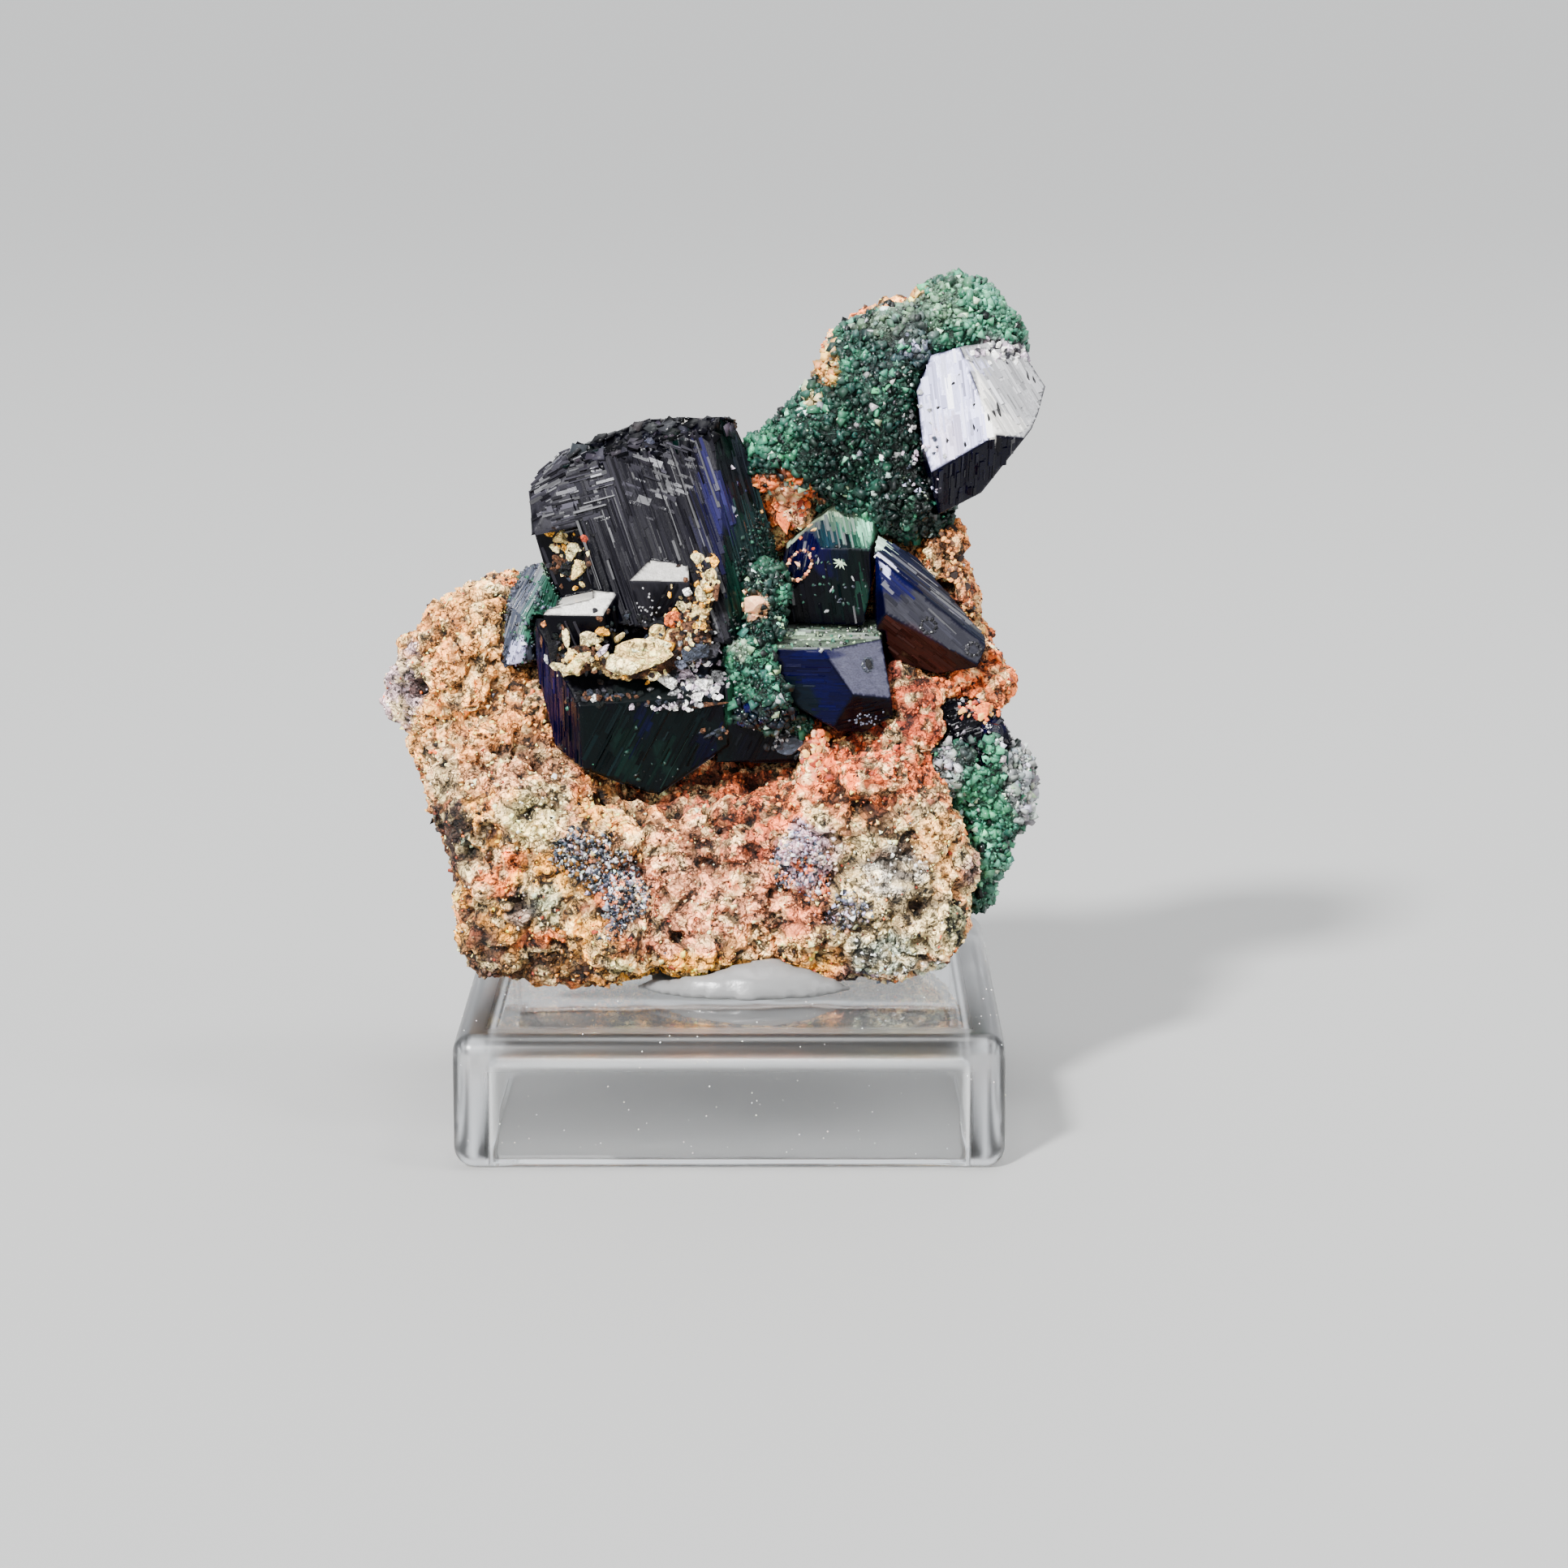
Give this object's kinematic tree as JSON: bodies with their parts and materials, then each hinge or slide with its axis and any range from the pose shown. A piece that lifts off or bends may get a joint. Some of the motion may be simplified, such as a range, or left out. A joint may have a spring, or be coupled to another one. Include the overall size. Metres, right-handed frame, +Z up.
{
  "type": "azurite specimen on a display base",
  "caption": "Dark blue azurite crystals and green malachite grown on a lump of porous orange gossan, held by putty on a clear hollow square display base.",
  "frame": {"origin": "on the surface the base stands on, below the middle of the whole specimen's bounding box", "axes": "+Z up, +X to the viewer's right and +Y away from the viewer, who faces the large azurite blocks"},
  "size_m": [0.0402, 0.032, 0.0502],
  "materials": {
    "azurite": "glassy, near black to deep blue, with striated faces",
    "malachite": "velvety, with fine sparkling needles",
    "gossan": "rough, porous and granular, orange to cream",
    "clay": "matte, crumbly",
    "putty": "translucent whitish, slightly glossy",
    "clear_plastic": "clear and colourless, moulded, polished"
  },
  "bodies": {
    "root": {"azurite_coated": "azurite", "azurite_crest": "azurite", "azurite_left": "azurite", "azurite_main": "azurite", "azurite_side": "azurite", "azurite_tabular": "azurite", "azurite_wedge": "azurite", "clay_patch": "clay", "display_base": "clear_plastic", "malachite_crest": "malachite", "malachite_cushion": "malachite", "malachite_side": "malachite", "matrix_rock": "gossan", "mounting_putty": "putty"}
  },
  "joints": []
}
